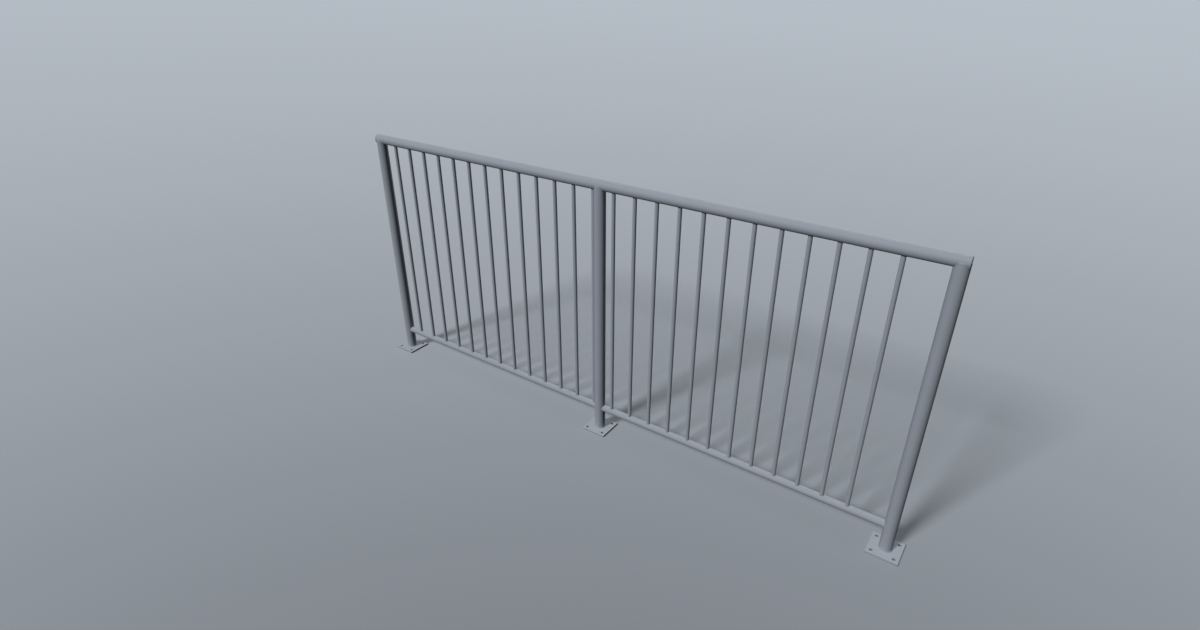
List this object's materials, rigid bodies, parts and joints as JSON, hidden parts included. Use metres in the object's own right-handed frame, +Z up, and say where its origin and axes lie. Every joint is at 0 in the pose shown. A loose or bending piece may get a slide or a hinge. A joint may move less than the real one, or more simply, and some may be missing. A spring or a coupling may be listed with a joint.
{
  "type": "baluster railing",
  "caption": "Straight tubular steel guard railing: round posts on bolted base plates, a round top rail, low bottom rails and vertical round bars.",
  "frame": {"origin": "middle of the underside of the middle base plate, on the floor", "axes": "+X along the railing to its right end, -Y to its front, +Z up"},
  "size_m": [2.51, 0.11, 1.1],
  "materials": {
    "post_steel": "satin blue-grey powder coat on steel tube",
    "rail_steel": "satin blue-grey powder coat on steel tube",
    "bar_steel": "satin blue-grey powder coat on solid round bar",
    "plate_steel": "satin blue-grey powder coat on flat plate",
    "weld_steel": "satin blue-grey powder coat over weld"
  },
  "bodies": {
    "root": {"left_base_plate": "plate_steel", "middle_base_plate": "plate_steel", "right_base_plate": "plate_steel", "left_foot_weld": "weld_steel", "middle_foot_weld": "weld_steel", "right_foot_weld": "weld_steel", "left_post": "post_steel", "middle_post": "post_steel", "right_post": "post_steel", "top_rail": "rail_steel", "left_end_cap": "rail_steel", "right_end_cap": "rail_steel", "left_bottom_rail": "rail_steel", "right_bottom_rail": "rail_steel", "baluster_01": "bar_steel", "baluster_02": "bar_steel", "baluster_03": "bar_steel", "baluster_04": "bar_steel", "baluster_05": "bar_steel", "baluster_06": "bar_steel", "baluster_07": "bar_steel", "baluster_08": "bar_steel", "baluster_09": "bar_steel", "baluster_10": "bar_steel", "baluster_11": "bar_steel", "baluster_12": "bar_steel", "baluster_13": "bar_steel", "baluster_14": "bar_steel", "baluster_15": "bar_steel", "baluster_16": "bar_steel", "baluster_17": "bar_steel", "baluster_18": "bar_steel", "baluster_19": "bar_steel", "baluster_20": "bar_steel", "baluster_21": "bar_steel", "baluster_22": "bar_steel", "baluster_23": "bar_steel", "baluster_24": "bar_steel", "baluster_25": "bar_steel"}
  },
  "joints": []
}
